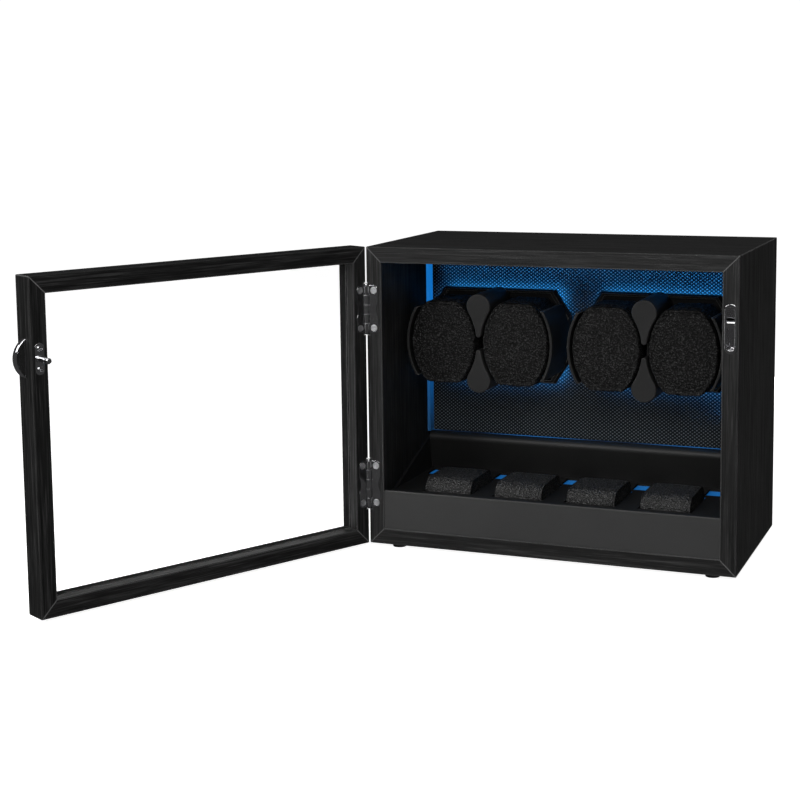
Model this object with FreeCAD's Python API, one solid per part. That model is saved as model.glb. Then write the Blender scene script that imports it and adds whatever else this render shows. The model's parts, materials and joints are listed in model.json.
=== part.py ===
import FreeCAD, Part
import math
import os
from FreeCAD import Rotation, Vector

# Watch winder box: a mitred wooden cabinet with a glazed door, two rotating twin heads with
# removable pillows, and a tray with four lift-out cushions.
#
# Millimetres. The origin is the centre of the cabinet's footprint on the surface it stands on.
# +X is to the right seen from the front, +Y goes in from the front to the back, and +Z is up.
# Every function takes depths from the cabinet's front plane and heights from its underside.

# ---------------------------------------------------------------- driving dimensions
CABINET_W = 350.0
CABINET_H = 285.0
CABINET_D = 190.0
PANEL_T = 15.0
EDGE_ROUND = 0.8
FOOT_H = 5.0

DOOR_T = 22.0
DOOR_MEMBER = 15.0
DOOR_GAP = 1.2
DOOR_OPEN_DEG = 117.2
GLASS_T = 3.0
GLASS_BITE = 4.0

BACK_T = 9.0
BACK_REBATE = 7.5
BACKBOARD_DEPTH = 127.0
BACKBOARD_T = 3.0

HINGE_HEIGHTS = (58.0, 226.0)
HINGE_LEN = 45.0
HINGE_LEAF_W = 11.5
HINGE_LEAF_T = 0.5
HINGE_CORNER_R = 4.2
HINGE_WAIST = 1.8
HINGE_WAIST_R = 16.0
KNUCKLE_R = 2.8
KNUCKLE_COUNT = 5
KNUCKLE_GAP = 0.3
PIN_R = 1.2
PIN_CLEARANCE = 0.05
HINGE_OUTSET = 0.0
HINGE_SCREW_SPREAD = 17.8
HINGE_SCREW_R = 3.1
HINGE_SCREW_HEAD = 0.4
HINGE_SCREW_SINK = 0.35
HINGE_SHANK_R = 1.1
HINGE_SCREW_LEN = 8.0
FINIAL_R = 2.2
FINIAL_LEN = 1.8

LATCH_HEIGHT = 217.0
LATCH_SCREW_SPREAD = 8.6
LATCH_PLATE_T = 0.5
LATCH_SCREW_R = 1.2
LATCH_SCREW_LEN = 8.0
STUD_R = 2.6
STUD_LEN = 16.0
STRIKE_HEIGHT = 220.8
STRIKE_W = 11.0
STRIKE_H = 44.0
STRIKE_T = 0.5
STRIKE_ROUND = 0.35
RECESS_W = 7.2
RECESS_H = 38.0
RECESS_DEPTH = 16.0
CUP_T = 0.7
KEEPER_LOW = 220.0
KEEPER_HIGH = 227.4
KEEPER_FRONT = 0.8
KEEPER_BACK = 7.0
KEEPER_ROUND = 1.6

PULL_H = 33.0
PULL_OUT = 10.0
PULL_T = 5.5
PULL_RIM = 1.6

HEAD_SPACING = 160.0
HEAD_HEIGHT = 190.5
HEAD_FRONT = 45.0
FLANGE_DEPTH = 109.0
FLANGE_T = 4.0
LIP_H = 3.5
FLANGE_HALF_W = 73.0
FLANGE_HALF_H = 46.0
FLANGE_SIDE_HALF = 21.0
FLANGE_TOP_HALF = 57.0
CHEEK_R = 66.0
CHEEK_T = 2.5
CHEEK_OFFSET = 7.0
CHEEK_HALF_H = 33.0
HUB_R = 16.0
HUB_LEN = 6.0

DROP_R = 11.8
DROP_TIP_R = 2.5
DROP_GAP = 0.9
DROP_BEVEL = 1.2
WEB_T = 3.0
WEB_SETBACK = 18.0

PILLOW_OFFSET = 36.1
PILLOW_HALF_W = 33.3
PILLOW_HALF_H = 40.5
PILLOW_TOP_HALF = 16.0
PILLOW_FRONT = 44.5
PILLOW_BACK = 105.0
PILLOW_CORNER = 3.0
PILLOW_CROWN = 2.8

SPINDLE_R = 4.0
SPINDLE_END = 168.0
BUSH_R = 8.0
BUSH_FLANGE_R = 10.5
BUSH_FLANGE_T = 2.0
BRACKET_DEPTH = 157.0
BRACKET_T = 2.0
BRACKET_HALF_W = 32.0
BRACKET_FOOT = 9.0
BRACKET_UP = 20.0
BRACKET_DOWN = 46.0

MODULE = 1.0
GEAR_TEETH = 42
PINION_TEETH = 14
PRESSURE_DEG = 25.0
TOOTH_ADDENDUM = 0.9
TOOTH_DEDENDUM = 1.25
TOOTH_SLACK = 0.12
GEAR_DEPTH = 140.0
GEAR_T = 6.0
PINION_T = 8.0
MOTOR_SHAFT_R = 1.5
MOTOR_R = 14.0
MOTOR_LEN = 18.0

BOARD_T = 4.0
BOARD_SETBACK = 1.0
BOARD_TOP = 52.0
DECK_TOP = 49.0
DECK_T = 2.0
DECK_BACK = 124.0
CUSHION_PITCH = 70.0
CUSHION_W = 49.0
CUSHION_L = 67.0
CUSHION_FRONT = 24.5
CUSHION_TOP = 62.5
CUSHION_SLACK = 0.6
CUSHION_ROUND = 14.5
CUSHION_SIDE_ROUND = 1.5
WINDOW_W = 26.0
WINDOW_FRONT = 94.0
WINDOW_BACK = 119.0
WINDOW_RIM = 1.0
LIGHT_STRIP_T = 2.5
RIB_T = 3.0
LEDGE_TOP = 87.5
LEDGE_FRONT = 114.5
LEDGE_FOOT = 121.5
LEDGE_ROUND = 7.0
END_T = 2.5
END_START = 26.0
END_DROP = 2.5

LIGHT_BAR_T = 3.0
LIGHT_BAR_W = 10.0

FOOT_X = 151.0
FOOT_INSET = 16.0
FOOT_R = 7.5

PLATE_W = 110.0
PLATE_H = 48.0
PLATE_T = 2.0
CONTROL_HEIGHT = 62.0
KNOB_X = 36.0
KNOB_R = 8.5
KNOB_LEN = 11.0
KNOB_SHAFT_R = 3.0
ROCKER_W = 10.0
ROCKER_H = 17.0
ROCKER_HEIGHT = 70.0
ROCKER_TILT_DEG = 6.0
SELECTOR_R = 7.5
INLET_HEIGHT = 50.0
INLET_R = 5.5
INLET_BORE_R = 2.75
CIRCUIT_DEPTH = 168.0
CIRCUIT_T = 1.6

# ---------------------------------------------------------------- worked out from them
FRONT_Y = -CABINET_D / 2
HALF_W = CABINET_W / 2
INNER_X = HALF_W - PANEL_T
INNER_TOP = CABINET_H - PANEL_T
HINGE_X = -HALF_W - HINGE_OUTSET
HINGE_DEPTH = -DOOR_GAP / 2
DOOR_BACK = -DOOR_GAP
DOOR_FRONT = -DOOR_GAP - DOOR_T
LATCH_X = HALF_W - DOOR_MEMBER / 2
BACK_DEPTH = CABINET_D - BACK_T
BACKBOARD_BACK = BACKBOARD_DEPTH + BACKBOARD_T
MESH_DISTANCE = MODULE * (GEAR_TEETH + PINION_TEETH) / 2
MOTOR_HEIGHT = HEAD_HEIGHT - MESH_DISTANCE
CUSHION_BACK = CUSHION_FRONT + CUSHION_L
CUSHION_XS = [CUSHION_PITCH * (i - 1.5) for i in range(4)]
HEAD_XS = (-HEAD_SPACING / 2, HEAD_SPACING / 2)
PILLOW_BULGE = PILLOW_HALF_W - PILLOW_TOP_HALF
PILLOW_SIDE_R = (PILLOW_BULGE ** 2 + PILLOW_HALF_H ** 2) / (2 * PILLOW_BULGE)
FLANK_R = PILLOW_SIDE_R + DROP_GAP
FLANK_REACH = PILLOW_OFFSET - PILLOW_HALF_W + PILLOW_SIDE_R
DROP_CENTRE = math.sqrt((FLANK_R + DROP_R) ** 2 - FLANK_REACH ** 2)
DROP_TIP = math.sqrt((FLANK_R + DROP_TIP_R) ** 2 - FLANK_REACH ** 2)
FEET = [(x, d) for x in (-FOOT_X, FOOT_X) for d in (FOOT_INSET, CABINET_D - FOOT_INSET)]


# ---------------------------------------------------------------- building blocks
def at(x, depth, height):
    """A point from its depth behind the front plane and its height above the underside."""
    return Vector(x, FRONT_Y + depth, FOOT_H + height)


def block(x0, x1, depth0, depth1, height0, height1):
    return Part.makeBox(x1 - x0, depth1 - depth0, height1 - height0, at(x0, depth0, height0))


def rod(start, end, radius):
    """A cylinder from one point to another."""
    run = end.sub(start)
    return Part.makeCylinder(radius, run.Length, start, run)


def rod_in(x, height, radius, depth0, depth1):
    """A cylinder that runs front to back."""
    return rod(at(x, depth0, height), at(x, depth1, height), radius)


def prism_in(wire, length):
    """A wire in a plane of constant depth, carried back by a length."""
    return Part.Face(wire).extrude(Vector(0, length, 0))


def outline(points, depth):
    """A closed straight-sided outline of (x, height) points at one depth."""
    corners = [at(x, depth, h) for x, h in points]
    return Part.makePolygon(corners + corners[:1])


def side_profile(points, x0, x1):
    """An outline of (depth, height) points, carried from x0 to x1."""
    corners = [at(x0, d, h) for d, h in points]
    face = Part.Face(Part.makePolygon(corners + corners[:1]))
    return face.extrude(Vector(x1 - x0, 0, 0))


def fused(shapes):
    return shapes[0].multiFuse(shapes[1:]).removeSplitter()


def edges_where(shape, test):
    """The edges whose bounding box passes a test."""
    return [edge for edge in shape.Edges if test(edge.BoundBox)]


def flat_at(box, depth):
    """True for an edge that lies in the plane of one depth."""
    y = FRONT_Y + depth
    return abs(box.YMin - y) < 1e-3 and abs(box.YMax - y) < 1e-3


def opened(shape):
    """A door piece, drawn closed, swung to its open position."""
    turned = shape.copy()
    turned.rotate(at(HINGE_X, HINGE_DEPTH, 0), Vector(0, 0, 1), -DOOR_OPEN_DEG)
    return turned


def aimed(shape, point, direction):
    """A shape drawn about the origin along +Z, turned to a direction and moved to a point."""
    moved = shape.copy()
    moved.Placement = FreeCAD.Placement(point, Rotation(Vector(0, 0, 1), direction))
    return moved


def screw(head_r, head_h, shank_r, length):
    """A cross-recessed screw with the underside of its head at the origin, head up."""
    head = Part.makeCylinder(head_r, head_h)
    head = head.makeFillet(head_h * 0.45, edges_where(head, lambda b: b.ZMin > head_h / 2))
    shank = Part.makeCylinder(shank_r, length, Vector(0, 0, -length))
    body = fused([head, shank])
    recess_depth = head_h * 0.5
    for long_x, long_y in ((head_r * 1.1, head_r * 0.28), (head_r * 0.28, head_r * 1.1)):
        corner = Vector(-long_x / 2, -long_y / 2, head_h - recess_depth)
        body = body.cut(Part.makeBox(long_x, long_y, head_h, corner))
    return body


# ---------------------------------------------------------------- mitred frames
def mitre_wedges(half_w, height, depth0, depth1):
    """The four wedges that split a frame along its 45 degree mitres."""
    reach = height / 3
    margin = 2.0
    low, high = -margin, height + margin
    left, right = -half_w - margin, half_w + margin
    inner = margin + reach
    corners = {
        "top": [(left, high), (right, high), (right - inner, high - inner), (left + inner, high - inner)],
        "bottom": [(left, low), (right, low), (right - inner, low + inner), (left + inner, low + inner)],
        "left": [(left, low), (left, high), (left + inner, high - inner), (left + inner, low + inner)],
        "right": [(right, low), (right, high), (right - inner, high - inner), (right - inner, low + inner)],
    }
    run = depth1 - depth0 + 2 * margin
    return {side: prism_in(outline(points, depth0 - margin), run) for side, points in corners.items()}


def frame_ring(member, depth0, depth1, bead_depth):
    """A rounded frame of the cabinet's outline, with a small bevel round its opening."""
    ring = block(-HALF_W, HALF_W, depth0, depth1, 0, CABINET_H)
    ring = ring.makeFillet(EDGE_ROUND, ring.Edges)
    inner_x = HALF_W - member
    ring = ring.cut(block(-inner_x, inner_x, depth0 - 1, depth1 + 1, member, CABINET_H - member))
    inside = edges_where(ring, lambda b: flat_at(b, bead_depth)
                         and b.XMin > -inner_x - 0.1 and b.XMax < inner_x + 0.1
                         and b.ZMin > FOOT_H + member - 0.1
                         and b.ZMax < FOOT_H + CABINET_H - member + 0.1)
    return ring.makeChamfer(EDGE_ROUND * 0.75, inside)


def cabinet_panels():
    """The four mitred panels, with the rebate that takes the back panel."""
    ring = frame_ring(PANEL_T, 0, CABINET_D, 0)
    rebate_x = INNER_X + BACK_REBATE
    ring = ring.cut(block(-rebate_x, rebate_x, BACK_DEPTH, CABINET_D + 1,
                          PANEL_T - BACK_REBATE, INNER_TOP + BACK_REBATE))
    wedges = mitre_wedges(HALF_W, CABINET_H, 0, CABINET_D)
    panels = {side: ring.common(wedge) for side, wedge in wedges.items()}
    for height in HINGE_HEIGHTS:
        panels["left"] = panels["left"].cut(knuckle_mortise(height))
        for drill in leaf_screw_holes(height):
            panels["left"] = panels["left"].cut(drill)
    panels["right"] = panels["right"].cut(strike_recess())
    for x, depth in FEET:
        panels["bottom"] = panels["bottom"].cut(rod(at(x, depth, -1), at(x, depth, 8), 1.5))
    for x, height in back_screw_places():
        drill = rod_in(x, height, 1.4, BACK_DEPTH - 10, CABINET_D)
        side = "left" if x < 0 else "right"
        panels[side] = panels[side].cut(drill)
    return panels


def door_members():
    """The four mitred door members, grooved for the glass and drawn closed."""
    ring = frame_ring(DOOR_MEMBER, DOOR_FRONT, DOOR_BACK, DOOR_BACK)
    groove_x = HALF_W - DOOR_MEMBER + GLASS_BITE
    groove_h = DOOR_MEMBER - GLASS_BITE
    middle = (DOOR_FRONT + DOOR_BACK) / 2
    ring = ring.cut(block(-groove_x, groove_x, middle - GLASS_T / 2 - 0.2, middle + GLASS_T / 2 + 0.2,
                          groove_h, CABINET_H - groove_h))
    wedges = mitre_wedges(HALF_W, CABINET_H, DOOR_FRONT, DOOR_BACK)
    members = {side: ring.common(wedge) for side, wedge in wedges.items()}
    for height in HINGE_HEIGHTS:
        members["left"] = members["left"].cut(knuckle_mortise(height))
        for drill in leaf_screw_holes(height):
            members["left"] = members["left"].cut(mirrored_to_door(drill))
    for height in latch_screw_heights():
        drill = rod_in(LATCH_X, height, LATCH_SCREW_R, DOOR_BACK - LATCH_SCREW_LEN, DOOR_BACK)
        members["right"] = members["right"].cut(drill)
    return members


def door_glass():
    reach = GLASS_BITE - 0.5
    glass_x = HALF_W - DOOR_MEMBER + reach
    middle = (DOOR_FRONT + DOOR_BACK) / 2
    return block(-glass_x, glass_x, middle - GLASS_T / 2, middle + GLASS_T / 2,
                 DOOR_MEMBER - reach, CABINET_H - DOOR_MEMBER + reach)


# ---------------------------------------------------------------- hinges
def mirrored_to_door(shape):
    """A cabinet-side hinge piece mirrored about the hinge plane to the closed door."""
    return shape.mirror(at(HINGE_X, HINGE_DEPTH, 0), Vector(0, 1, 0))


def knuckle_mortise(height):
    """The groove that the hinge barrel and its finials turn in."""
    half = HINGE_LEN / 2 + FINIAL_LEN + 0.6
    return rod(at(HINGE_X, HINGE_DEPTH, height - half), at(HINGE_X, HINGE_DEPTH, height + half),
               KNUCKLE_R + 0.3)


def knuckle_span(height, index):
    """The bottom and top of one knuckle."""
    pitch = HINGE_LEN / KNUCKLE_COUNT
    low = height - HINGE_LEN / 2 + index * pitch
    return low + KNUCKLE_GAP / 2, low + pitch - KNUCKLE_GAP / 2


def leaf_screw_points(height):
    x = HINGE_X + HINGE_LEAF_W - HINGE_CORNER_R
    return [(x, height + offset) for offset in (-HINGE_SCREW_SPREAD, HINGE_SCREW_SPREAD)]


def leaf_screw_holes(height):
    bottom = HINGE_SCREW_LEN + 1
    return [rod_in(x, h, HINGE_SHANK_R, -HINGE_LEAF_T, bottom) for x, h in leaf_screw_points(height)]


def hinge_leaf(height, own_knuckles):
    """A waisted leaf on the cabinet's front plane with its knuckles."""
    half = HINGE_LEN / 2
    edge_x = HINGE_X + HINGE_LEAF_W
    leaf = block(HINGE_X, edge_x, -HINGE_LEAF_T, 0, height - half, height + half)
    outer = edges_where(leaf, lambda b: b.XMin > edge_x - 0.1 and b.YLength > HINGE_LEAF_T / 2)
    leaf = leaf.makeFillet(HINGE_CORNER_R, outer)
    leaf = leaf.cut(rod_in(edge_x + HINGE_WAIST_R - HINGE_WAIST, height, HINGE_WAIST_R, -HINGE_LEAF_T - 1, 1))
    seat = HINGE_SCREW_SINK - HINGE_LEAF_T
    for x, h in leaf_screw_points(height):
        leaf = leaf.cut(rod_in(x, h, HINGE_SCREW_R, -HINGE_LEAF_T, seat))
        leaf = leaf.cut(rod_in(x, h, HINGE_SHANK_R, -HINGE_LEAF_T, 0))
    for index in range(KNUCKLE_COUNT):
        low, high = knuckle_span(height, index)
        if index in own_knuckles:
            leaf = leaf.fuse(rod(at(HINGE_X, HINGE_DEPTH, low), at(HINGE_X, HINGE_DEPTH, high), KNUCKLE_R))
        else:
            notch = rod(at(HINGE_X, HINGE_DEPTH, low - KNUCKLE_GAP),
                        at(HINGE_X, HINGE_DEPTH, high + KNUCKLE_GAP), KNUCKLE_R + 0.3)
            leaf = leaf.cut(notch)
    bore = rod(at(HINGE_X, HINGE_DEPTH, height - half - 1), at(HINGE_X, HINGE_DEPTH, height + half + 1),
               PIN_R + PIN_CLEARANCE)
    return leaf.cut(bore).removeSplitter()


def hinge_cabinet_leaves():
    return Part.makeCompound([hinge_leaf(height, (0, 2, 4)) for height in HINGE_HEIGHTS])


def hinge_door_leaves():
    leaves = [mirrored_to_door(hinge_leaf(height, (1, 3))) for height in HINGE_HEIGHTS]
    return Part.makeCompound(leaves)


def hinge_pins():
    """Pins with a small ball finial at each end."""
    pins = []
    for height in HINGE_HEIGHTS:
        half = HINGE_LEN / 2
        shaft = rod(at(HINGE_X, HINGE_DEPTH, height - half), at(HINGE_X, HINGE_DEPTH, height + half), PIN_R)
        parts = [shaft]
        for way in (-1, 1):
            start = height + way * half
            end = start + way * FINIAL_LEN
            cap = rod(at(HINGE_X, HINGE_DEPTH, start), at(HINGE_X, HINGE_DEPTH, end), FINIAL_R)
            rim = edges_where(cap, lambda b: b.ZLength < 0.1 and abs(b.ZMin - FOOT_H - end) < 0.1)
            parts.append(cap.makeFillet(FINIAL_R * 0.6, rim))
        pins.append(fused(parts))
    return Part.makeCompound(pins)


def hinge_screws():
    """Countersunk-flush screws through the cabinet leaves."""
    pattern = screw(HINGE_SCREW_R, HINGE_SCREW_HEAD, HINGE_SHANK_R, HINGE_SCREW_LEN)
    seat = HINGE_SCREW_SINK - HINGE_LEAF_T
    return Part.makeCompound([aimed(pattern, at(x, seat, h), Vector(0, -1, 0))
                              for height in HINGE_HEIGHTS for x, h in leaf_screw_points(height)])


# ---------------------------------------------------------------- latch, strike and pull
def latch_screw_heights():
    return [LATCH_HEIGHT - LATCH_SCREW_SPREAD, LATCH_HEIGHT + LATCH_SCREW_SPREAD]


def latch_base():
    """A slim plate with rounded ends on the door's inner face."""
    half_w = 4.2
    half_h = LATCH_SCREW_SPREAD + 4.4
    plate = block(LATCH_X - half_w, LATCH_X + half_w, DOOR_BACK, DOOR_BACK + LATCH_PLATE_T,
                  LATCH_HEIGHT - half_h, LATCH_HEIGHT + half_h)
    corners = edges_where(plate, lambda b: b.YLength > LATCH_PLATE_T / 2 and b.ZLength < 0.1)
    plate = plate.makeFillet(3.9, corners)
    for height in latch_screw_heights():
        plate = plate.cut(rod_in(LATCH_X, height, LATCH_SCREW_R, DOOR_BACK - 1, 0))
    return plate


def latch_stud():
    """The grooved stud that enters the strike."""
    base = DOOR_BACK + LATCH_PLATE_T
    tip = DOOR_BACK + STUD_LEN
    stud = fused([rod_in(LATCH_X, LATCH_HEIGHT, STUD_R, base, tip),
                  rod_in(LATCH_X, LATCH_HEIGHT, STUD_R + 0.7, base, base + 1.0)])
    groove = rod_in(LATCH_X, LATCH_HEIGHT, STUD_R + 1, tip - 6, tip - 3.4)
    groove = groove.cut(rod_in(LATCH_X, LATCH_HEIGHT, STUD_R - 0.6, tip - 7, tip))
    stud = stud.cut(groove)
    return stud.makeChamfer(0.6, edges_where(stud, lambda b: flat_at(b, tip)))


def latch_screws():
    pattern = screw(2.4, 1.2, LATCH_SCREW_R, LATCH_SCREW_LEN + LATCH_PLATE_T)
    return Part.makeCompound([aimed(pattern, at(LATCH_X, DOOR_BACK + LATCH_PLATE_T, h), Vector(0, 1, 0))
                              for h in latch_screw_heights()])


def oval(width, height, depth0, depth1):
    """A straight-sided oval block about the strike's centre."""
    r = width / 2
    straight = height / 2 - r
    body = block(LATCH_X - r, LATCH_X + r, depth0, depth1, STRIKE_HEIGHT - straight, STRIKE_HEIGHT + straight)
    ends = [rod_in(LATCH_X, STRIKE_HEIGHT + offset, r, depth0, depth1) for offset in (-straight, straight)]
    return fused([body] + ends)


def strike_recess():
    return oval(RECESS_W + 2 * CUP_T, RECESS_H + 2 * CUP_T, -1, RECESS_DEPTH + CUP_T)


def strike_plate():
    """A rimmed metal cup, with a cross bar near its mouth that the stud passes beneath."""
    plate = oval(STRIKE_W, STRIKE_H, -STRIKE_T, 0)
    plate = plate.makeFillet(STRIKE_ROUND, edges_where(plate, lambda b: flat_at(b, -STRIKE_T)))
    cup = oval(RECESS_W + 2 * CUP_T, RECESS_H + 2 * CUP_T, -STRIKE_T / 2, RECESS_DEPTH + CUP_T)
    shell = fused([plate, cup]).cut(oval(RECESS_W, RECESS_H, -STRIKE_T - 1, RECESS_DEPTH))
    half = RECESS_W / 2 + CUP_T / 2
    keeper = block(LATCH_X - half, LATCH_X + half, KEEPER_FRONT, KEEPER_BACK, KEEPER_LOW, KEEPER_HIGH)
    mouth = edges_where(keeper, lambda b: b.XLength > 1 and flat_at(b, KEEPER_FRONT))
    return fused([shell, keeper.makeFillet(KEEPER_ROUND, mouth)])


def half_moon(rim, thickness):
    """A half-moon slab on the door's free edge, shrunk inwards by a rim width."""
    radius = (PULL_H ** 2 / 4 + PULL_OUT ** 2) / (2 * PULL_OUT)
    centre_x = HALF_W + PULL_OUT - radius
    middle = (DOOR_FRONT + DOOR_BACK) / 2
    disc = rod_in(centre_x, LATCH_HEIGHT, radius - rim, middle - thickness / 2, middle + thickness / 2)
    keep = block(HALF_W + rim * 0.6, HALF_W + PULL_OUT + 1, DOOR_FRONT, DOOR_BACK,
                 LATCH_HEIGHT - PULL_H, LATCH_HEIGHT + PULL_H)
    return disc.common(keep)


def door_pull():
    """The bright half-moon grip, with a pocket in each face for the dark inlays."""
    grip = half_moon(0, PULL_T)
    curved = edges_where(grip, lambda b: b.YLength < 0.1 and b.XLength > 1)
    grip = grip.makeFillet(1.0, curved)
    return grip.cut(half_moon(PULL_RIM, PULL_T + 1)).fuse(half_moon(PULL_RIM, PULL_T - 3.0)).removeSplitter()


def door_pull_inlays():
    """The two dark dished inlays, one in each face of the grip."""
    slab = half_moon(PULL_RIM, PULL_T - 0.8).cut(half_moon(0, PULL_T - 3.0))
    inlays = []
    for solid in slab.Solids:
        side = 1 if solid.CenterOfMass.y > FRONT_Y + (DOOR_FRONT + DOOR_BACK) / 2 else -1
        dish_r = 34.0
        face_depth = (DOOR_FRONT + DOOR_BACK) / 2 + side * (PULL_T - 0.8) / 2
        ball = Part.makeSphere(dish_r, at(HALF_W + PULL_OUT * 0.45, face_depth + side * (dish_r - 0.7),
                                          LATCH_HEIGHT))
        inlays.append(solid.cut(ball))
    return Part.makeCompound(inlays)


# ---------------------------------------------------------------- back of the cabinet
def back_screw_places():
    x = INNER_X + BACK_REBATE / 2
    return [(side * x, height) for side in (-1, 1) for height in (40.0, CABINET_H / 2, 245.0)]


def back_panel():
    reach = BACK_REBATE - 0.2
    half_w = INNER_X + reach
    panel = block(-half_w, half_w, BACK_DEPTH, CABINET_D, PANEL_T - reach, INNER_TOP + reach)
    for x, height in back_screw_places():
        panel = panel.cut(rod_in(x, height, 1.4, BACK_DEPTH - 1, CABINET_D + 1))
    for x in (-KNOB_X, KNOB_X):
        panel = panel.cut(rod_in(x, CONTROL_HEIGHT, SELECTOR_R + 1, BACK_DEPTH - 1, CABINET_D + 1))
    panel = panel.cut(rod_in(0, INLET_HEIGHT, INLET_R, BACK_DEPTH - 1, CABINET_D + 1))
    return panel.cut(block(-ROCKER_W / 2 - 2, ROCKER_W / 2 + 2, BACK_DEPTH - 1, CABINET_D + 1,
                           ROCKER_HEIGHT - ROCKER_H / 2 - 1.5, ROCKER_HEIGHT + ROCKER_H / 2 + 1.5))


def back_panel_screws():
    pattern = screw(3.0, 1.6, 1.4, 19.0)
    return Part.makeCompound([aimed(pattern, at(x, CABINET_D, h), Vector(0, 1, 0))
                              for x, h in back_screw_places()])


def rear_control_plate():
    """The plate behind the knobs, switch and inlet, standing proud of the back panel."""
    plate = block(-PLATE_W / 2, PLATE_W / 2, CABINET_D, CABINET_D + PLATE_T,
                  CONTROL_HEIGHT - PLATE_H / 2, CONTROL_HEIGHT + PLATE_H / 2)
    plate = plate.makeFillet(4.0, edges_where(plate, lambda b: b.YLength > 1))
    for x in (-KNOB_X, KNOB_X):
        plate = plate.cut(rod_in(x, CONTROL_HEIGHT, KNOB_SHAFT_R + 0.5, CABINET_D - 1, CABINET_D + 4))
    slack = 0.8
    plate = plate.cut(block(-ROCKER_W / 2 - slack, ROCKER_W / 2 + slack, CABINET_D - 1, CABINET_D + 4,
                            ROCKER_HEIGHT - ROCKER_H / 2 - slack, ROCKER_HEIGHT + ROCKER_H / 2 + slack))
    return plate.cut(rod_in(0, INLET_HEIGHT, INLET_R, CABINET_D - 1, CABINET_D + 4))


def dc_inlet():
    """A barrel socket with its centre contact."""
    outside = CABINET_D + PLATE_T + 1.0
    inside = CIRCUIT_DEPTH + CIRCUIT_T
    barrel = fused([rod_in(0, INLET_HEIGHT, INLET_R, inside, outside),
                    rod_in(0, INLET_HEIGHT, INLET_R + 1.3, CABINET_D + PLATE_T, outside)])
    barrel = barrel.cut(rod_in(0, INLET_HEIGHT, INLET_BORE_R, outside - 9.0, outside))
    return barrel.fuse(rod_in(0, INLET_HEIGHT, 1.0, outside - 9.5, outside - 1.5)).removeSplitter()


def mode_knob(x):
    """A fluted knob with a pointer rib, on a round shaft."""
    start = CABINET_D + PLATE_T + 0.6
    knob = rod_in(x, CONTROL_HEIGHT, KNOB_R, start, start + KNOB_LEN)
    knob = knob.makeFillet(1.2, edges_where(knob, lambda b: flat_at(b, start + KNOB_LEN)))
    flutes = 18
    for index in range(flutes):
        angle = 2 * math.pi * (index + 0.5) / flutes
        flute_x = x + (KNOB_R + 0.5) * math.cos(angle)
        flute_h = CONTROL_HEIGHT + (KNOB_R + 0.5) * math.sin(angle)
        knob = knob.cut(rod_in(flute_x, flute_h, 1.0, start + 1.5, start + KNOB_LEN + 1))
    pointer = block(x - 0.7, x + 0.7, start + KNOB_LEN - 1, start + KNOB_LEN + 0.8,
                    CONTROL_HEIGHT + 1, CONTROL_HEIGHT + KNOB_R - 1.6)
    shaft = rod_in(x, CONTROL_HEIGHT, KNOB_SHAFT_R, CIRCUIT_DEPTH + CIRCUIT_T + 3, start + 1)
    return fused([knob, pointer, shaft])


def led_rocker():
    """A rocker with two sloping faces that meet at its pivot line, tipped to its on side."""
    face = CABINET_D + PLATE_T
    half = ROCKER_H / 2
    points = [(face - 6, -half * 0.6), (face + 0.6, -half), (face + 3.0, -half + 0.6), (face + 1.4, 0),
              (face + 3.0, half - 0.6), (face + 0.6, half), (face - 6, half * 0.6)]
    rocker = side_profile([(d, ROCKER_HEIGHT + h) for d, h in points], -ROCKER_W / 2, ROCKER_W / 2)
    rocker = rocker.makeFillet(0.4, edges_where(rocker, lambda b: b.XLength > 1 and b.YMin > FRONT_Y + face))
    rocker.rotate(at(0, CABINET_D, ROCKER_HEIGHT), Vector(1, 0, 0), -ROCKER_TILT_DEG)
    return rocker


def control_board():
    """The circuit board with the two selector bodies, the switch body and a few components."""
    half_w = PLATE_W / 2 - 6
    low = CONTROL_HEIGHT - PLATE_H / 2 + 2
    high = CONTROL_HEIGHT + PLATE_H / 2 - 2
    rear = CIRCUIT_DEPTH + CIRCUIT_T
    parts = [block(-half_w, half_w, CIRCUIT_DEPTH, rear, low, high)]
    for x in (-KNOB_X, KNOB_X):
        body = rod_in(x, CONTROL_HEIGHT, SELECTOR_R, rear, CABINET_D - 4)
        parts.append(body.cut(rod_in(x, CONTROL_HEIGHT, KNOB_SHAFT_R + PIN_CLEARANCE, rear + 2, CABINET_D)))
    parts.append(block(-6, 6, rear, CABINET_D - 6, ROCKER_HEIGHT - 7, ROCKER_HEIGHT + 7))
    for index in range(3):
        chip_x = -16 + index * 16
        parts.append(block(chip_x - 4, chip_x + 4, CIRCUIT_DEPTH - 1.5, CIRCUIT_DEPTH, low + 6, low + 12))
    return fused(parts)


# ---------------------------------------------------------------- inside the cabinet
def backboard():
    board = block(-INNER_X, INNER_X, BACKBOARD_DEPTH, BACKBOARD_BACK, PANEL_T, INNER_TOP)
    for x in HEAD_XS:
        board = board.cut(rod_in(x, HEAD_HEIGHT, BUSH_R, BACKBOARD_DEPTH - 1, BACKBOARD_BACK + 1))
    return board


def side_light_bars():
    """The upright light bars on the side walls, just in front of the backboard."""
    bars = []
    for side in (-1, 1):
        outer = side * INNER_X
        inner = side * (INNER_X - LIGHT_BAR_T)
        bar = block(min(outer, inner), max(outer, inner), BACKBOARD_DEPTH - LIGHT_BAR_W, BACKBOARD_DEPTH,
                    LEDGE_TOP, INNER_TOP)
        bars.append(bar)
    return Part.makeCompound(bars)


def rear_light_bar():
    """The thin light bar between the tray's ledge and the backboard."""
    return block(-INNER_X + END_T, INNER_X - END_T, DECK_BACK + 0.6, BACKBOARD_DEPTH,
                 LEDGE_TOP - 6, LEDGE_TOP - 0.4)


def tray_front_board():
    board = block(-INNER_X, INNER_X, BOARD_SETBACK, BOARD_SETBACK + BOARD_T, PANEL_T, BOARD_TOP)
    top = edges_where(board, lambda b: b.XLength > 1 and b.ZMin > FOOT_H + BOARD_TOP - 0.1)
    return board.makeChamfer(0.8, top)


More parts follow.
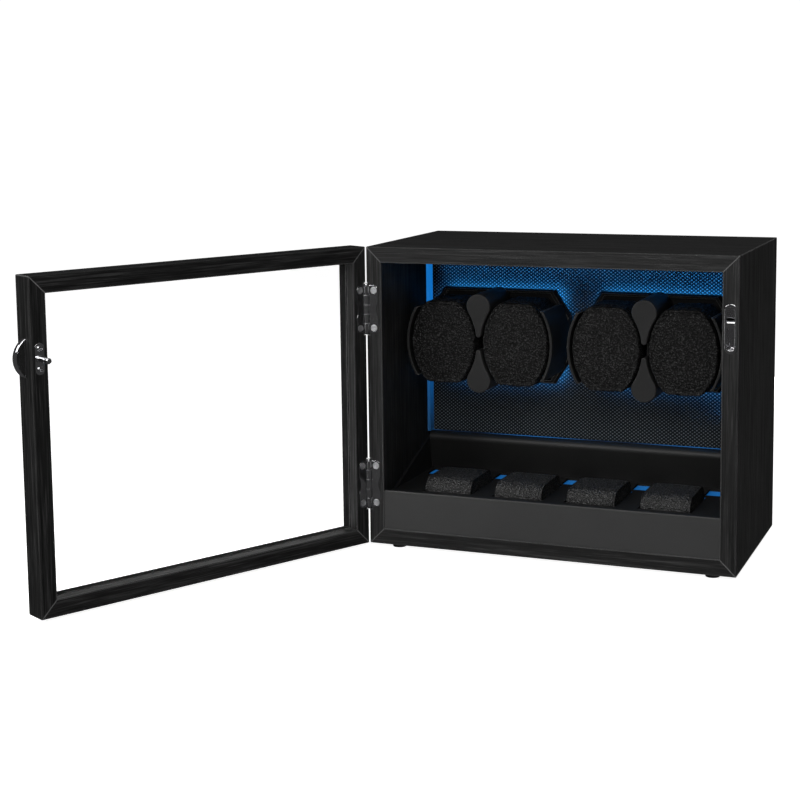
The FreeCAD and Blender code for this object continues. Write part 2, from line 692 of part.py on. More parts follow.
def tray_windows():
    """The places of the light windows, between and beside the cushions."""
    return [CUSHION_PITCH * index for index in range(-2, 3)]


def tray_deck():
    """The tray floor with its cushion wells and light windows."""
    deck = block(-INNER_X, INNER_X, BOARD_SETBACK + BOARD_T, DECK_BACK, DECK_TOP - DECK_T, DECK_TOP)
    for x in CUSHION_XS:
        half = CUSHION_W / 2 + CUSHION_SLACK
        deck = deck.cut(block(x - half, x + half, CUSHION_FRONT - CUSHION_SLACK, CUSHION_BACK + CUSHION_SLACK,
                              0, DECK_TOP + 1))
    for x in tray_windows():
        deck = deck.cut(block(x - WINDOW_W / 2, x + WINDOW_W / 2, WINDOW_FRONT, WINDOW_BACK,
                              0, DECK_TOP + 1))
    return deck


def tray_ribs():
    """The upright ribs that the tray floor stands on."""
    rear = WINDOW_FRONT - 2 * WINDOW_RIM
    return Part.makeCompound([block(x - RIB_T / 2, x + RIB_T / 2, BOARD_SETBACK + BOARD_T, rear,
                                    PANEL_T, DECK_TOP - DECK_T) for x in tray_windows()])


def tray_light_strip():
    """The light panel under the windows, hung from the deck by its rims."""
    top = DECK_TOP - DECK_T
    return block(-INNER_X + END_T, INNER_X - END_T, WINDOW_FRONT - WINDOW_RIM, WINDOW_BACK + WINDOW_RIM,
                 top - LIGHT_STRIP_T, top)


def tray_rear_ledge():
    """The tray's rear wall, which leans forward and rolls over into the top of the ledge."""
    points = [(LEDGE_FOOT, DECK_TOP), (DECK_BACK, DECK_TOP), (DECK_BACK, LEDGE_TOP), (LEDGE_FRONT, LEDGE_TOP)]
    ledge = side_profile(points, -INNER_X + END_T, INNER_X - END_T)
    nose = edges_where(ledge, lambda b: b.XLength > 1 and flat_at(b, LEDGE_FRONT))
    return ledge.makeFillet(LEDGE_ROUND, nose)


def tray_end_walls():
    """The two triangular end walls that rise towards the ledge."""
    points = [(END_START, DECK_TOP), (DECK_BACK, DECK_TOP), (DECK_BACK, LEDGE_TOP - END_DROP)]
    return Part.makeCompound([side_profile(points, -INNER_X, -INNER_X + END_T),
                              side_profile(points, INNER_X - END_T, INNER_X)])


def storage_cushion(x):
    """A plain block with rolled front and back edges."""
    cushion = block(x - CUSHION_W / 2, x + CUSHION_W / 2, CUSHION_FRONT, CUSHION_BACK,
                    PANEL_T + 0.4, CUSHION_TOP)
    rolled = edges_where(cushion, lambda b: b.XLength > 1 and b.ZMin > FOOT_H + CUSHION_TOP - 0.1)
    cushion = cushion.makeFillet(CUSHION_ROUND, rolled)
    sides = edges_where(cushion, lambda b: b.XLength < 0.1 and b.YLength > 1
                        and b.ZMin > FOOT_H + CUSHION_TOP - 0.1)
    return cushion.makeFillet(CUSHION_SIDE_ROUND, sides)


# ---------------------------------------------------------------- rotating heads
def octagon(x, scale, depth):
    """The flange's long octagon about one head's axis."""
    quarter = [(FLANGE_TOP_HALF, FLANGE_HALF_H), (FLANGE_HALF_W, FLANGE_SIDE_HALF)]
    corners = quarter + [(a, -b) for a, b in reversed(quarter)]
    corners += [(-a, -b) for a, b in quarter] + [(-a, b) for a, b in reversed(quarter)]
    return outline([(x + a * scale, HEAD_HEIGHT + b * scale) for a, b in corners], depth)


def head_carrier(x):
    """The moulded carrier: a lipped octagonal flange, two curved cheeks and a rear hub."""
    plate = prism_in(octagon(x, 1.0, FLANGE_DEPTH), FLANGE_T)
    lip = Part.makeLoft([octagon(x, 0.97, FLANGE_DEPTH - LIP_H), octagon(x, 1.0, FLANGE_DEPTH)], True)
    lip = lip.cut(prism_in(octagon(x, 0.93, FLANGE_DEPTH - LIP_H - 1), LIP_H + 2))
    parts = [plate, lip]
    for side in (-1, 1):
        centre = x + side * CHEEK_OFFSET
        shell = rod_in(centre, HEAD_HEIGHT, CHEEK_R, HEAD_FRONT, FLANGE_DEPTH)
        shell = shell.cut(rod_in(centre, HEAD_HEIGHT, CHEEK_R - CHEEK_T, HEAD_FRONT - 1, FLANGE_DEPTH + 1))
        near = x + side * CHEEK_R * 0.6
        far = x + side * CHEEK_R * 1.3
        keep = block(min(near, far), max(near, far), HEAD_FRONT, FLANGE_DEPTH,
                     HEAD_HEIGHT - CHEEK_HALF_H, HEAD_HEIGHT + CHEEK_HALF_H)
        cheek = shell.common(keep)
        rim = edges_where(cheek, lambda b: flat_at(b, HEAD_FRONT))
        parts.append(cheek.makeFillet(0.8, rim))
    flange_back = FLANGE_DEPTH + FLANGE_T
    parts.append(rod_in(x, HEAD_HEIGHT, HUB_R, flange_back - 0.5, flange_back + HUB_LEN))
    carrier = fused(parts).cut(head_divider(x))
    return carrier.cut(rod_in(x, HEAD_HEIGHT, SPINDLE_R, FLANGE_DEPTH + 2, flange_back + HUB_LEN + 1))


def teardrop(x, way, depth):
    """A teardrop about the head's axis, round end outwards, whose hollow flanks follow the pillows."""
    def spot(across, height):
        return at(x + across, depth, HEAD_HEIGHT + way * height)

    def touching(side, centre, radius):
        """Where a rounded end meets the flank on one side."""
        share = radius / (FLANK_R + radius)
        return spot(side * share * FLANK_REACH, centre * (1 - share))

    ends = []
    for centre, radius, outwards in ((DROP_CENTRE, DROP_R, 1), (DROP_TIP, DROP_TIP_R, -1)):
        ends.append(Part.Arc(touching(-1, centre, radius), spot(0, centre + outwards * radius),
                             touching(1, centre, radius)).toShape())
    middle = (DROP_CENTRE + DROP_TIP) / 2
    hollow = FLANK_REACH - math.sqrt(FLANK_R ** 2 - middle ** 2)
    flanks = [Part.Arc(touching(side, DROP_CENTRE, DROP_R), spot(side * hollow, middle),
                       touching(side, DROP_TIP, DROP_TIP_R)).toShape() for side in (-1, 1)]
    return Part.Wire(Part.sortEdges(ends + flanks)[0])


def head_divider(x):
    """Two teardrop posts joined by a thin web that stands between the pillows."""
    parts = []
    for way in (-1, 1):
        post = prism_in(teardrop(x, way, HEAD_FRONT), FLANGE_DEPTH - HEAD_FRONT)
        rim = edges_where(post, lambda b: flat_at(b, HEAD_FRONT))
        parts.append(post.makeFillet(DROP_BEVEL, rim))
    parts.append(block(x - WEB_T / 2, x + WEB_T / 2, HEAD_FRONT + WEB_SETBACK, FLANGE_DEPTH,
                       HEAD_HEIGHT - DROP_CENTRE, HEAD_HEIGHT + DROP_CENTRE))
    return fused(parts)


def pillow_outline(x, depth):
    """Flat top and bottom joined by one wide arc at each side."""
    corner = {(sx, sh): at(x + sx * PILLOW_TOP_HALF, depth, HEAD_HEIGHT + sh * PILLOW_HALF_H)
              for sx in (-1, 1) for sh in (-1, 1)}
    right = at(x + PILLOW_HALF_W, depth, HEAD_HEIGHT)
    left = at(x - PILLOW_HALF_W, depth, HEAD_HEIGHT)
    edges = [Part.LineSegment(corner[-1, 1], corner[1, 1]).toShape(),
             Part.Arc(corner[1, 1], right, corner[1, -1]).toShape(),
             Part.LineSegment(corner[1, -1], corner[-1, -1]).toShape(),
             Part.Arc(corner[-1, -1], left, corner[-1, 1]).toShape()]
    return Part.Wire(edges)


def rotor_pillow(x):
    """A plain pillow with rounded corners and a rolled front edge."""
    pillow = prism_in(pillow_outline(x, PILLOW_FRONT), PILLOW_BACK - PILLOW_FRONT)
    corners = edges_where(pillow, lambda b: b.YLength > 1 and b.XLength < 0.1 and b.ZLength < 0.1)
    pillow = pillow.makeFillet(PILLOW_CORNER, corners)
    front = edges_where(pillow, lambda b: flat_at(b, PILLOW_FRONT))
    return pillow.makeFillet(PILLOW_CROWN, front)


# ---------------------------------------------------------------- drive
def involute_point(base_r, radius, start_angle, turn):
    """A point on an involute flank, as (x, height) about the gear's centre."""
    roll = math.acos(base_r / radius)
    angle = start_angle + turn * (math.tan(roll) - roll)
    return radius * math.cos(angle), radius * math.sin(angle)


def gear_outline(teeth, tooth_angle):
    """An involute gear outline as (x, height) points, with one tooth centred on an angle."""
    pitch_r = MODULE * teeth / 2
    base_r = pitch_r * math.cos(math.radians(PRESSURE_DEG))
    tip_r = pitch_r + TOOTH_ADDENDUM * MODULE
    root_r = pitch_r - TOOTH_DEDENDUM * MODULE
    roll = math.radians(PRESSURE_DEG)
    half_tooth = (math.pi * MODULE / 2 - TOOTH_SLACK) / 2 / pitch_r + math.tan(roll) - roll
    start_r = max(base_r * 1.001, root_r + 0.1)
    steps = 3
    points = []
    for index in range(teeth):
        middle = tooth_angle + 2 * math.pi * index / teeth
        points.append((root_r * math.cos(middle - half_tooth), root_r * math.sin(middle - half_tooth)))
        radii = [start_r + (tip_r - start_r) * i / steps for i in range(steps + 1)]
        points += [involute_point(base_r, r, middle - half_tooth, 1) for r in radii]
        points += [involute_point(base_r, r, middle + half_tooth, -1) for r in reversed(radii)]
        points.append((root_r * math.cos(middle + half_tooth), root_r * math.sin(middle + half_tooth)))
    return points


def toothed_wheel(x, height, teeth, tooth_angle, depth0, depth1):
    points = [(x + a, height + b) for a, b in gear_outline(teeth, tooth_angle)]
    return prism_in(outline(points, depth0), depth1 - depth0)


def drive_gear(x):
    """The wheel on the head's spindle, with one tooth pointing down at the pinion."""
    wheel = toothed_wheel(x, HEAD_HEIGHT, GEAR_TEETH, -math.pi / 2, GEAR_DEPTH, GEAR_DEPTH + GEAR_T)
    hub = rod_in(x, HEAD_HEIGHT, SPINDLE_R + 3, GEAR_DEPTH - 2, GEAR_DEPTH + GEAR_T + 3)
    wheel = fused([wheel, hub])
    for index in range(6):
        angle = math.pi * index / 3
        wheel = wheel.cut(rod_in(x + 13 * math.cos(angle), HEAD_HEIGHT + 13 * math.sin(angle), 3.5,
                                 GEAR_DEPTH - 1, GEAR_DEPTH + GEAR_T + 1))
    return wheel.cut(rod_in(x, HEAD_HEIGHT, SPINDLE_R, GEAR_DEPTH - 3, GEAR_DEPTH + GEAR_T + 4))


def motor_pinion(x):
    """The motor's pinion and shaft, with a gap pointing up at the wheel's tooth."""
    gap_up = math.pi / 2 + math.pi / PINION_TEETH
    start = GEAR_DEPTH - (PINION_T - GEAR_T) / 2
    wheel = toothed_wheel(x, MOTOR_HEIGHT, PINION_TEETH, gap_up, start, start + PINION_T)
    shaft = rod_in(x, MOTOR_HEIGHT, MOTOR_SHAFT_R, start, BRACKET_DEPTH + BRACKET_T + 12)
    return fused([wheel, shaft])


def head_spindle(x):
    """The spindle, with a retaining collar behind the rear bush."""
    shaft = rod_in(x, HEAD_HEIGHT, SPINDLE_R, FLANGE_DEPTH + 2, SPINDLE_END)
    collar_start = BRACKET_DEPTH + BRACKET_T + 3.5
    collar = rod_in(x, HEAD_HEIGHT, SPINDLE_R + 2.5, collar_start, collar_start + 3)
    return fused([shaft, collar])


def spindle_bush(x, depth0, depth1, flange_depth):
    """A flanged bush that a spindle runs in."""
    bush = fused([rod_in(x, HEAD_HEIGHT, BUSH_R, depth0, depth1),
                  rod_in(x, HEAD_HEIGHT, BUSH_FLANGE_R, flange_depth, flange_depth + BUSH_FLANGE_T)])
    return bush.cut(rod_in(x, HEAD_HEIGHT, SPINDLE_R + PIN_CLEARANCE, depth0 - 1, depth1 + 1))


def spindle_bushes():
    """A front bush in the backboard and a rear bush in the bracket, for each head."""
    rear_start = BRACKET_DEPTH - BUSH_FLANGE_T
    bushes = []
    for x in HEAD_XS:
        bushes.append(spindle_bush(x, BACKBOARD_DEPTH - BUSH_FLANGE_T, BACKBOARD_BACK + 4,
                                   BACKBOARD_DEPTH - BUSH_FLANGE_T))
        bushes.append(spindle_bush(x, rear_start, BRACKET_DEPTH + BRACKET_T + 3, rear_start))
    return Part.makeCompound(bushes)


def motor_bracket(x):
    """A folded bracket: a plate on two legs whose feet stand on the backboard."""
    low = HEAD_HEIGHT - BRACKET_DOWN
    high = HEAD_HEIGHT + BRACKET_UP
    rear = BRACKET_DEPTH + BRACKET_T
    parts = [block(x - BRACKET_HALF_W, x + BRACKET_HALF_W, BRACKET_DEPTH, rear, low, high)]
    for side in (-1, 1):
        outer = x + side * BRACKET_HALF_W
        inner = outer - side * BRACKET_T
        foot = outer + side * BRACKET_FOOT
        parts.append(block(min(outer, inner), max(outer, inner), BACKBOARD_BACK, rear, low, high))
        parts.append(block(min(outer, foot), max(outer, foot), BACKBOARD_BACK, BACKBOARD_BACK + BRACKET_T,
                           low, high))
    bracket = fused(parts)
    bracket = bracket.cut(rod_in(x, HEAD_HEIGHT, BUSH_R, BRACKET_DEPTH - 1, rear + 1))
    return bracket.cut(rod_in(x, MOTOR_HEIGHT, 5.0, BRACKET_DEPTH - 1, rear + 1))


def gear_motor(x):
    """A round gear motor bolted to the back of its bracket."""
    front = BRACKET_DEPTH + BRACKET_T
    can = rod_in(x, MOTOR_HEIGHT, MOTOR_R, front, front + MOTOR_LEN)
    can = can.makeFillet(1.2, edges_where(can, lambda b: flat_at(b, front + MOTOR_LEN)))
    ears = block(x - MOTOR_R - 5, x + MOTOR_R + 5, front, front + 1.5, MOTOR_HEIGHT - 5, MOTOR_HEIGHT + 5)
    motor = fused([can, ears])
    return motor.cut(rod_in(x, MOTOR_HEIGHT, MOTOR_SHAFT_R + PIN_CLEARANCE, front - 1, front + 12.5))


# ---------------------------------------------------------------- feet
def feet():
    """Four tapered rubber feet, each with a pocket for its screw head."""
    pads = []
    for x, depth in FEET:
        pad = Part.makeCone(FOOT_R - 1.2, FOOT_R, FOOT_H, at(x, depth, -FOOT_H))
        pad = pad.cut(rod(at(x, depth, -FOOT_H), at(x, depth, -FOOT_H + 2.8), 3.2))
        pads.append(pad.cut(rod(at(x, depth, -FOOT_H), at(x, depth, 0), 1.5)))
    return Part.makeCompound(pads)


def foot_screws():
    pattern = screw(3.0, 1.5, 1.5, 2.2 + 7.0)
    seat = -FOOT_H + 2.8
    return Part.makeCompound([aimed(pattern, at(x, depth, seat), Vector(0, 0, -1)) for x, depth in FEET])


# ---------------------------------------------------------------- the whole box
def all_parts():
    parts = {}
    for side, panel in cabinet_panels().items():
        parts["cabinet_" + side + "_panel"] = panel
    door_names = {"top": "door_top_rail", "bottom": "door_bottom_rail",
                  "left": "door_hinge_stile", "right": "door_latch_stile"}
    for side, member in door_members().items():
        parts[door_names[side]] = opened(member)
    parts["door_glass"] = opened(door_glass())
    parts["hinge_cabinet_leaves"] = hinge_cabinet_leaves()
    parts["hinge_door_leaves"] = opened(hinge_door_leaves())
    parts["hinge_pins"] = hinge_pins()
    parts["hinge_cabinet_screws"] = hinge_screws()
    parts["hinge_door_screws"] = opened(mirrored_to_door(hinge_screws()))
    parts["latch_base"] = opened(latch_base())
    parts["latch_stud"] = opened(latch_stud())
    parts["latch_screws"] = opened(latch_screws())
    parts["door_pull"] = opened(door_pull())
    parts["door_pull_inlays"] = opened(door_pull_inlays())
    parts["strike_plate"] = strike_plate()
    parts["back_panel"] = back_panel()
    parts["back_panel_screws"] = back_panel_screws()
    parts["rear_control_plate"] = rear_control_plate()
    parts["control_board"] = control_board()
    parts["dc_inlet"] = dc_inlet()
    parts["led_rocker"] = led_rocker()
    parts["backboard"] = backboard()
    parts["side_light_bars"] = side_light_bars()
    parts["rear_light_bar"] = rear_light_bar()
    parts["tray_front_board"] = tray_front_board()
    parts["tray_deck"] = tray_deck()
    parts["tray_ribs"] = tray_ribs()
    parts["tray_light_strip"] = tray_light_strip()
    parts["tray_rear_ledge"] = tray_rear_ledge()
    parts["tray_end_walls"] = tray_end_walls()
    parts["spindle_bushes"] = spindle_bushes()
    parts["motor_brackets"] = Part.makeCompound([motor_bracket(x) for x in HEAD_XS])
    parts["gear_motors"] = Part.makeCompound([gear_motor(x) for x in HEAD_XS])
    parts["feet"] = feet()
    parts["foot_screws"] = foot_screws()
    for number, x in enumerate((-KNOB_X, KNOB_X), start=1):
        parts["mode_knob_" + str(number)] = mode_knob(x)
    for number, x in enumerate(CUSHION_XS, start=1):
        parts["storage_cushion_" + str(number)] = storage_cushion(x)
    for number, x in enumerate(HEAD_XS, start=1):
        tag = "_" + str(number)
        parts["head_carrier" + tag] = head_carrier(x)
        parts["head_divider" + tag] = head_divider(x)
        parts["head_spindle" + tag] = head_spindle(x)
        parts["drive_gear" + tag] = drive_gear(x)
        parts["motor_pinion" + tag] = motor_pinion(x)
        parts["rotor_pillow" + tag + "_left"] = rotor_pillow(x - PILLOW_OFFSET)
        parts["rotor_pillow" + tag + "_right"] = rotor_pillow(x + PILLOW_OFFSET)
    return parts


os.makedirs("parts", exist_ok=True)
for name, shape in all_parts().items():
    shape.exportStep("parts/" + name + ".step")
    print(name, "solids", len(shape.Solids), "volume", round(shape.Volume, 1), "valid", shape.isValid())
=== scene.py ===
import json
import math

import bmesh
import bpy
from mathutils import Matrix, Vector, kdtree, noise

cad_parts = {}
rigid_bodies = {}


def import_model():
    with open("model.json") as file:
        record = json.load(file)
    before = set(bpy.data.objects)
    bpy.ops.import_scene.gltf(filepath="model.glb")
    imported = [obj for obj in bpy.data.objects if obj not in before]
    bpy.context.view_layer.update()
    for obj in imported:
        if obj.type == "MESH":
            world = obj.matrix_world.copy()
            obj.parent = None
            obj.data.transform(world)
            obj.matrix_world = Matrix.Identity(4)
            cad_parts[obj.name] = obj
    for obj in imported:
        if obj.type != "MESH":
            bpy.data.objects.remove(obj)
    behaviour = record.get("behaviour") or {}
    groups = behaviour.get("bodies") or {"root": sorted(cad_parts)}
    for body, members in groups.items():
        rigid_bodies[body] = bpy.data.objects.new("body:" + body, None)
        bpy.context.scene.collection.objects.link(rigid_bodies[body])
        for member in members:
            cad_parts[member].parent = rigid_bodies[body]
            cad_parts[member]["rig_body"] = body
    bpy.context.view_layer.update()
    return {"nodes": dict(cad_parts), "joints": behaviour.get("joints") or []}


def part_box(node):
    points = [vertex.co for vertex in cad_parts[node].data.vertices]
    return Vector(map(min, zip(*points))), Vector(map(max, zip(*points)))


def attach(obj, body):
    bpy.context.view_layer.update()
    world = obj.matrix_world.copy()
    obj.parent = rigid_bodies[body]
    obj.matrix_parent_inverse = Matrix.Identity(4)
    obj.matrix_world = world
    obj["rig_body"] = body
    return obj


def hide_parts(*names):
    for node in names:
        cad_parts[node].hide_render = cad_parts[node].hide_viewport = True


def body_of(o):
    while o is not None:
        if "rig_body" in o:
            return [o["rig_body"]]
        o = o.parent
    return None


# Looks of the watch winder box. Metres, in the CAD frame: +X right, +Y inwards, +Z up.
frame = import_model()
nodes = frame["nodes"]
scene = bpy.context.scene
scene.view_settings.view_transform = "Standard"
MM = 0.001


# ---------------------------------------------------------------- camera
CAMERA_PLACE = (0.4359, -1.5104, 0.4286)
CAMERA_YAW, CAMERA_PITCH, CAMERA_ROLL = 0.38708, 0.12482, -0.01256
CAMERA_LENS = 74.2
CAMERA_SENSOR = 36.0
CAMERA_SHIFT = -0.12


def make_camera():
    data = bpy.data.cameras.new("camera")
    data.sensor_width = CAMERA_SENSOR
    data.lens = CAMERA_LENS
    data.shift_y = CAMERA_SHIFT
    camera = bpy.data.objects.new("camera", data)
    level = Vector((-math.sin(CAMERA_YAW), math.cos(CAMERA_YAW), 0))
    side = Vector((math.cos(CAMERA_YAW), math.sin(CAMERA_YAW), 0))
    up = Vector((0, 0, 1))
    look = level * math.cos(CAMERA_PITCH) - up * math.sin(CAMERA_PITCH)
    top = up * math.cos(CAMERA_PITCH) + level * math.sin(CAMERA_PITCH)
    right = side * math.cos(CAMERA_ROLL) + top * math.sin(CAMERA_ROLL)
    top = top * math.cos(CAMERA_ROLL) - side * math.sin(CAMERA_ROLL)
    turn = Matrix((right, top, -look)).transposed()
    camera.matrix_world = Matrix.Translation(CAMERA_PLACE) @ turn.to_4x4()
    scene.collection.objects.link(camera)
    scene.camera = camera


# ---------------------------------------------------------------- floor, surroundings and lights
FLOOR_REACH = 6.0
FLOOR_GLOW = 0.95
WORLD_SEEN = 1.05
WORLD_AS_LIGHT = 0.10
WORLD_REFLECTED = 0.05

# Name, place, aim, size and watts.
STUDIO_LIGHTS = [
    ("key_left", (-1.0, -1.15, 0.95), (0, 0, 0.16), (0.8, 0.6), 14),
    ("key_front", (0.15, -1.5, 0.85), (0, 0, 0.16), (0.8, 0.5), 9),
    ("key_right", (0.6, -1.25, 1.0), (0, 0, 0.16), (0.5, 0.4), 4),
    ("key_high", (-0.2, -1.0, 2.0), (0, 0, 0.12), (1.4, 0.8), 9),
    ("fill_right", (2.2, -0.6, 1.0), (0, 0, 0.15), (1.2, 1.2), 0.15),
    ("fill_back", (0, 1.0, 0.14), (0, 0, 0.14), (0.34, 0.24), 2.8),
    ("fill_top", (0.0, 0.6, 2.2), (0, 0, 0.15), (1.6, 1.6), 3.5),
]

LED_BLUE = (0.04, 0.40, 1.0)
LED_NARROW, LED_WIDE = 60, 150
LED_THROW = 20 * MM
LED_TOP_SIZE, LED_TOP_WATTS = (0.29, 0.012), 0.08
LED_TOP_GAP, LED_TOP_DROP = 9 * MM, 2 * MM
LED_SIDE_SIZE, LED_SIDE_WATTS = (0.012, 0.14), 0.018
LED_SIDE_GAP, LED_SIDE_INSET, LED_SIDE_HEIGHT = 8 * MM, 8 * MM, 0.19
LED_HEAD_SIZE, LED_HEAD_WATTS = (0.12, 0.09), 0.45
LED_HEAD_GAP = 11 * MM


def make_floor():
    mesh = bpy.data.meshes.new("floor")
    corners = [(x * FLOOR_REACH, y * FLOOR_REACH, 0) for x, y in
               ((-1, -1), (1, -1), (1, 1), (-1, 1))]
    mesh.from_pydata(corners, [], [(0, 1, 2, 3)])
    floor = bpy.data.objects.new("floor", mesh)
    scene.collection.objects.link(floor)
    paint = bpy.data.materials.new("pale_floor")
    paint.use_nodes = True
    sockets = paint.node_tree.nodes["Principled BSDF"].inputs
    sockets["Base Color"].default_value = (0.7, 0.7, 0.7, 1)
    sockets["Roughness"].default_value = 0.9
    sockets["Specular IOR Level"].default_value = 0.1
    sockets["Emission Color"].default_value = (1, 1, 1, 1)
    sockets["Emission Strength"].default_value = FLOOR_GLOW
    mesh.materials.append(paint)
    floor.visible_glossy = False


def make_world():
    """White where it is looked at directly or through glass, dim as a light and in reflections."""
    world = bpy.data.worlds.new("studio")
    scene.world = world
    world.use_nodes = True
    tree = world.node_tree
    background = tree.nodes["Background"]
    path = tree.nodes.new("ShaderNodeLightPath").outputs
    seen = add(tree, "ShaderNodeMath", {0: path["Is Camera Ray"], 1: path["Is Transmission Ray"]},
               operation="MAXIMUM")
    unseen = add(tree, "ShaderNodeMapRange", {
        "Value": path["Is Glossy Ray"], "To Min": WORLD_AS_LIGHT, "To Max": WORLD_REFLECTED})
    level = add(tree, "ShaderNodeMapRange", {
        "Value": seen.outputs[0], "To Min": unseen.outputs["Result"], "To Max": WORLD_SEEN})
    background.inputs["Color"].default_value = (1, 1, 1, 1)
    tree.links.new(level.outputs["Result"], background.inputs["Strength"])


def area_light(name, place, aim, size, watts, color=(1, 1, 1), spread=180):
    data = bpy.data.lights.new(name, "AREA")
    data.shape = "RECTANGLE"
    data.size, data.size_y = size
    data.energy = watts
    data.color = color
    data.spread = math.radians(spread)
    light = bpy.data.objects.new(name, data)
    light.location = place
    light.rotation_mode = "QUATERNION"
    light.rotation_quaternion = (Vector(aim) - Vector(place)).to_track_quat("-Z", "Y")
    scene.collection.objects.link(light)


def make_lights():
    """The studio's lights, and the box's own blue lamps in front of its backboard."""
    for light in STUDIO_LIGHTS:
        area_light(*light)
    low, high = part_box("backboard")
    board = low.y
    area_light("led_top", (0, board - LED_TOP_GAP, high.z - LED_TOP_DROP),
               (0, board, high.z - LED_THROW), LED_TOP_SIZE, LED_TOP_WATTS, LED_BLUE, LED_NARROW)
    wall = high.x - LED_SIDE_INSET
    area_light("led_side", (wall, board - LED_SIDE_GAP, LED_SIDE_HEIGHT),
               (wall - LED_THROW, board, LED_SIDE_HEIGHT), LED_SIDE_SIZE, LED_SIDE_WATTS,
               LED_BLUE, LED_NARROW)
    for number in (1, 2):
        low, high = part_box("head_carrier_%d" % number)
        middle = (low + high) / 2
        area_light("led_head", (middle.x, board - LED_HEAD_GAP, middle.z),
                   (middle.x, board, middle.z), LED_HEAD_SIZE, LED_HEAD_WATTS, LED_BLUE, LED_WIDE)


# ---------------------------------------------------------------- node helpers
MIX_OUTPUTS = {"FLOAT": 0, "VECTOR": 1, "RGBA": 2}
BEVEL_SAMPLES = 6


def add(tree, kind, inputs=None, **settings):
    """A node with its settings and inputs. An input may be a value or another node's output."""
    node = tree.nodes.new(kind)
    for key, value in settings.items():
        setattr(node, key, value)
    for key, value in (inputs or {}).items():
        if isinstance(value, bpy.types.NodeSocket):
            tree.links.new(value, node.inputs[key])
        else:
            node.inputs[key].default_value = value
    return node


def grey(value):
    return (value, value, value, 1)


def scaled(color, share):
    return tuple(channel * share for channel in color[:3]) + (1,)


class Paint:
    """A Principled material and the ways its patterns are made."""

    def __init__(self, name, color, roughness, **sockets):
        self.material = bpy.data.materials.new(name)
        self.material.use_nodes = True
        self.tree = self.material.node_tree
        self.shader = self.tree.nodes["Principled BSDF"]
        self.shader.inputs["Base Color"].default_value = color
        self.shader.inputs["Roughness"].default_value = roughness
        for key, value in sockets.items():
            self.shader.inputs[key.replace("_", " ")].default_value = value
        self.normal = None

    def add(self, kind, inputs=None, **settings):
        return add(self.tree, kind, inputs, **settings)

    def place(self, scale=(1, 1, 1), turn=(0, 0, 0)):
        """The piece's own coordinates in metres, turned and then scaled."""
        coords = self.add("ShaderNodeTexCoord").outputs["Object"]
        if any(turn):
            coords = self.add("ShaderNodeMapping", {"Vector": coords, "Rotation": turn}).outputs[0]
        return self.add("ShaderNodeMapping", {"Vector": coords, "Scale": scale}).outputs[0]

    def axis(self, letter):
        return self.add("ShaderNodeSeparateXYZ", {"Vector": self.place()}).outputs[letter]

    def noise(self, scale, detail=3.0, turn=(0, 0, 0), distortion=0.0):
        """Noise with a number of features per metre along each axis."""
        place = self.place(scale, turn)
        return self.add("ShaderNodeTexNoise", {"Vector": place, "Scale": 1.0, "Detail": detail,
                                               "Distortion": distortion}).outputs[0]

    def cells(self, vector, feature, **settings):
        """Distances in a pattern of cells one unit apart, even ones when randomness is nought."""
        randomness = settings.pop("randomness", 1.0)
        return self.add("ShaderNodeTexVoronoi",
                        {"Vector": vector, "Scale": 1.0, "Randomness": randomness},
                        feature=feature, **settings).outputs["Distance"]

    def math(self, operation, *values):
        return self.add("ShaderNodeMath", dict(enumerate(values)), operation=operation).outputs[0]

    def mix(self, first, second, share=0.5, kind="FLOAT"):
        node = self.add("ShaderNodeMix", {"Factor": share, "A": first, "B": second}, data_type=kind)
        return node.outputs[MIX_OUTPUTS[kind]]

    def spread(self, factor, low, high, start=0.3, end=0.7):
        """The factor's span from start to end, stretched over low to high."""
        return self.add("ShaderNodeMapRange", {
            "Value": factor, "From Min": start, "From Max": end,
            "To Min": low, "To Max": high}).outputs["Result"]

    def ramp(self, factor, stops):
        node = self.add("ShaderNodeValToRGB", {"Fac": factor})
        elements = node.color_ramp.elements
        for element, (place, color) in zip(elements, stops):
            element.position, element.color = place, color
        for place, color in stops[2:]:
            elements.new(place).color = color
        return node.outputs["Color"]

    def drive(self, socket, output):
        self.tree.links.new(output, self.shader.inputs[socket])

    def rounded(self, radius):
        """The normal, as if the piece's edges were rounded off."""
        return self.add("ShaderNodeBevel", {"Radius": radius}, samples=BEVEL_SAMPLES).outputs[0]

    def edges(self, radius, fall):
        """One on the piece's sharp edges and nought away from them, within a radius."""
        flat = self.add("ShaderNodeNewGeometry").outputs["Normal"]
        facing = self.add("ShaderNodeVectorMath", {0: self.rounded(radius), 1: flat},
                          operation="DOT_PRODUCT").outputs["Value"]
        return self.spread(facing, low=1.0, high=0.0, start=1 - fall, end=1.0)

    def bump(self, height, strength, distance):
        inputs = {"Height": height, "Strength": strength, "Distance": distance}
        if self.normal is not None:
            inputs["Normal"] = self.normal
        self.normal = self.add("ShaderNodeBump", inputs).outputs[0]
        self.drive("Normal", self.normal)


# ---------------------------------------------------------------- materials
# Features per metre along and across the grain: broad streaks, fine streaks and hair lines.
BROAD_GRAIN, FINE_GRAIN, HAIR_GRAIN = (5, 270), (14, 800), (34, 1500)
# Foil tones of the grain, and a pale grey that is a painted highlight on the foil's edges.
FOIL_DARK, FOIL_MIDDLE, FOIL_PALE, FOIL_EDGE_HIGHLIGHT = grey(0.001), grey(0.005), grey(0.022), grey(0.10)
# Widths of the painted edge highlights on foil and on mouldings, and the rounding of metal edges.
FOIL_HIGHLIGHT_RADIUS, MOULDING_HIGHLIGHT_RADIUS, METAL_EDGE = 1.3 * MM, 1.1 * MM, 0.5 * MM
# Features per metre of the slow changes of tone, and of the specks on metal.
MOULDING_CLOUDS, LEATHER_CLOUDS, METAL_CLOUDS, METAL_SPECKS = 22, 30, 60, 400
CIRCUIT_TRACKS = 160
DOT_PITCH_X, DOT_PITCH_Z = 4.24 * MM, 3.33 * MM
BOARD_DARK, BOARD_DOT = (0.0008, 0.003, 0.005, 1), (0.09, 0.106, 0.118, 1)
LAMP_BLUE = (0.01, 0.30, 1.0, 1)


